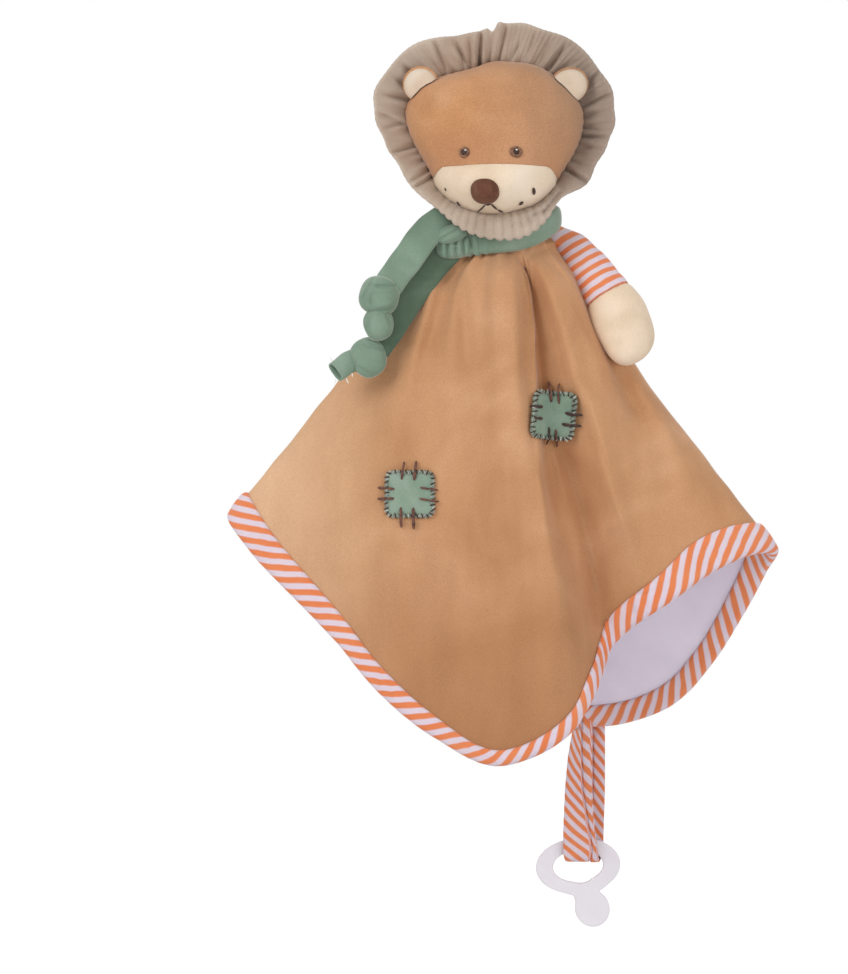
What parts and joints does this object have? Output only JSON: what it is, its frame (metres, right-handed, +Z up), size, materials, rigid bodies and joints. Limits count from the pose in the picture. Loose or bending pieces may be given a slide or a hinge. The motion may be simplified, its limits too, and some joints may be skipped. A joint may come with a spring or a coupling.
{
  "type": "comfort blanket lovey",
  "caption": "Comfort blanket: a tan velour square gathered under a stuffed lion's head with mane, striped arms, knotted scarf, patches, striped hem and a strap with a pacifier ring.",
  "frame": {"origin": "middle of the neck, where the cloth is gathered", "axes": "+Z up through the head, -Y out of the lion's face, +X to the right of someone who faces it"},
  "size_m": [0.2196, 0.12, 0.3705],
  "materials": {
    "tan_velour": "short pile velour",
    "cream_velour": "short pile velour",
    "lilac_jersey": "smooth jersey",
    "striped_jersey": "orange and lilac striped jersey",
    "green_velour": "short pile velour",
    "mane_corduroy": "fine ribbed velour",
    "brown_thread": "embroidery thread",
    "white_filling": "polyester filling",
    "pale_plastic": "satin, pale lilac white"
  },
  "bodies": {
    "blanket": {"blanket_velour": "tan_velour", "blanket_lining": "lilac_jersey", "hem_binding": "striped_jersey", "left_patch": "green_velour", "left_patch_stitching": "brown_thread", "right_patch": "green_velour", "right_patch_stitching": "brown_thread", "neck_thread": "brown_thread", "scarf_collar": "green_velour"},
    "neck": {"neck_stump": "tan_velour"},
    "head": {"head_stuffing": "white_filling", "forehead_panel": "tan_velour", "muzzle_panel": "cream_velour", "head_back_panel": "tan_velour", "mane_ruffle": "mane_corduroy", "left_ear_front": "cream_velour", "left_ear_back": "tan_velour", "right_ear_front": "cream_velour", "right_ear_back": "tan_velour", "left_eye_ring": "brown_thread", "left_eye_pupil": "brown_thread", "right_eye_ring": "brown_thread", "right_eye_pupil": "brown_thread", "nose": "brown_thread", "whisker_dot_1": "brown_thread", "whisker_dot_2": "brown_thread", "whisker_dot_3": "brown_thread", "whisker_dot_4": "brown_thread", "mouth_stitch": "brown_thread"},
    "right_arm": {"right_arm_stuffing": "white_filling", "right_sleeve": "striped_jersey", "right_hand": "cream_velour"},
    "left_arm": {"left_arm_stuffing": "white_filling", "left_sleeve": "striped_jersey", "left_hand": "cream_velour"},
    "front_tail": {"front_scarf_tail": "green_velour", "front_tail_knot": "green_velour", "front_tail_tip": "green_velour"},
    "back_tail": {"back_scarf_tail": "green_velour", "back_tail_knot": "green_velour", "back_tail_tip": "green_velour"},
    "strap": {"ring_strap": "striped_jersey", "strap_bar_tack": "brown_thread"},
    "ring": {"pacifier_ring": "pale_plastic"}
  },
  "joints": [
    {"name": "head_turn", "type": "hinge", "parent": "blanket", "child": "neck", "pos_m": [0, 0, 0], "axis": [0, 0, 1], "range_deg": [-1, 15], "stiffness_Nm_per_rad": 0.03},
    {"name": "head_nod", "type": "hinge", "parent": "neck", "child": "head", "pos_m": [0, 0, 0.0082], "axis": [1, 0, 0], "range_deg": [-15, 4], "stiffness_Nm_per_rad": 0.3},
    {"name": "right_arm_lift", "type": "hinge", "parent": "blanket", "child": "right_arm", "pos_m": [0.02577, 0, 0.0035], "axis": [-0.8622, 0, -0.5065], "range_deg": [0, 35]},
    {"name": "left_arm_lift", "type": "hinge", "parent": "blanket", "child": "left_arm", "pos_m": [-0.02409, 0.00898, 0.0035], "axis": [0.9888, 0.149, 0], "range_deg": [0, 60]},
    {"name": "front_tail_swing", "type": "hinge", "parent": "blanket", "child": "front_tail", "pos_m": [-0.01716, -0.01633, 0.00435], "axis": [-0.7071, 0, 0.7071], "range_deg": [0, 38]},
    {"name": "back_tail_swing", "type": "hinge", "parent": "blanket", "child": "back_tail", "pos_m": [-0.01812, -0.01293, -0.00287], "axis": [0, 1, 0], "range_deg": [0, 26]},
    {"name": "strap_swing", "type": "hinge", "parent": "blanket", "child": "strap", "pos_m": [0.03573, 0.07497, -0.20031], "axis": [1, 0, 0], "range_deg": [-18, 35]},
    {"name": "ring_swing", "type": "hinge", "parent": "strap", "child": "ring", "pos_m": [0.03264, 0.07497, -0.25022], "axis": [1, 0, 0], "range_deg": [-23, 23]}
  ]
}
